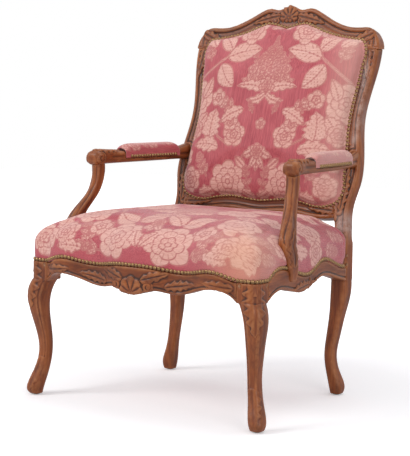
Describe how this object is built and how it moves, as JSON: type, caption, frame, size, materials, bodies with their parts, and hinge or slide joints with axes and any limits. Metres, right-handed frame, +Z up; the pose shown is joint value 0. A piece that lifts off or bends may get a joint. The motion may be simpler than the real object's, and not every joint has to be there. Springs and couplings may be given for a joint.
{
  "type": "upholstered armchair",
  "caption": "Carved wooden armchair with cabriole legs, a raked upholstered back, padded armrests and a domed seat close-nailed in damask.",
  "frame": {"origin": "on the floor, under the middle of the chair's box", "axes": "+Z up, -Y towards the sitter's front, +X to the right of a person facing the chair"},
  "size_m": [0.685, 0.6966, 0.96],
  "materials": {
    "carved_wood": "waxed reddish brown hardwood, worn on the edges",
    "plain_wood": "unfinished glue blocks",
    "steel_screws": "dull steel",
    "steel_glides": "dark worn steel",
    "jute_webbing": "coarse jute",
    "hessian": "plain open weave",
    "horsehair_stuffing": "stitched calico over horsehair",
    "damask": "satin ground with a woven figure",
    "brass_nails": "aged domed brass"
  },
  "bodies": {
    "root": {"crest_rail": "carved_wood", "back_bottom_rail": "carved_wood", "rear_post_left": "carved_wood", "rear_post_right": "carved_wood", "front_seat_rail": "carved_wood", "side_seat_rail_left": "carved_wood", "side_seat_rail_right": "carved_wood", "rear_seat_rail": "carved_wood", "front_leg_left": "carved_wood", "front_leg_right": "carved_wood", "arm_left": "carved_wood", "arm_right": "carved_wood", "arm_support_left": "carved_wood", "arm_support_right": "carved_wood", "joint_pegs": "carved_wood", "corner_block_front_left": "plain_wood", "corner_block_front_right": "plain_wood", "corner_block_rear_left": "plain_wood", "corner_block_rear_right": "plain_wood", "corner_block_screws": "steel_screws", "arm_support_screws": "steel_screws", "foot_glides": "steel_glides", "seat_webbing": "jute_webbing", "back_webbing": "jute_webbing", "seat_hessian": "hessian", "back_hessian": "hessian", "seat_stuffing": "horsehair_stuffing", "back_stuffing": "horsehair_stuffing", "arm_pad_stuffing_left": "horsehair_stuffing", "arm_pad_stuffing_right": "horsehair_stuffing", "seat_cover": "damask", "back_cover": "damask", "arm_pad_cover_left": "damask", "arm_pad_cover_right": "damask", "back_outside_panel": "damask", "seat_nails": "brass_nails", "back_nails": "brass_nails", "back_panel_nails": "brass_nails", "arm_nails": "brass_nails"}
  },
  "joints": []
}
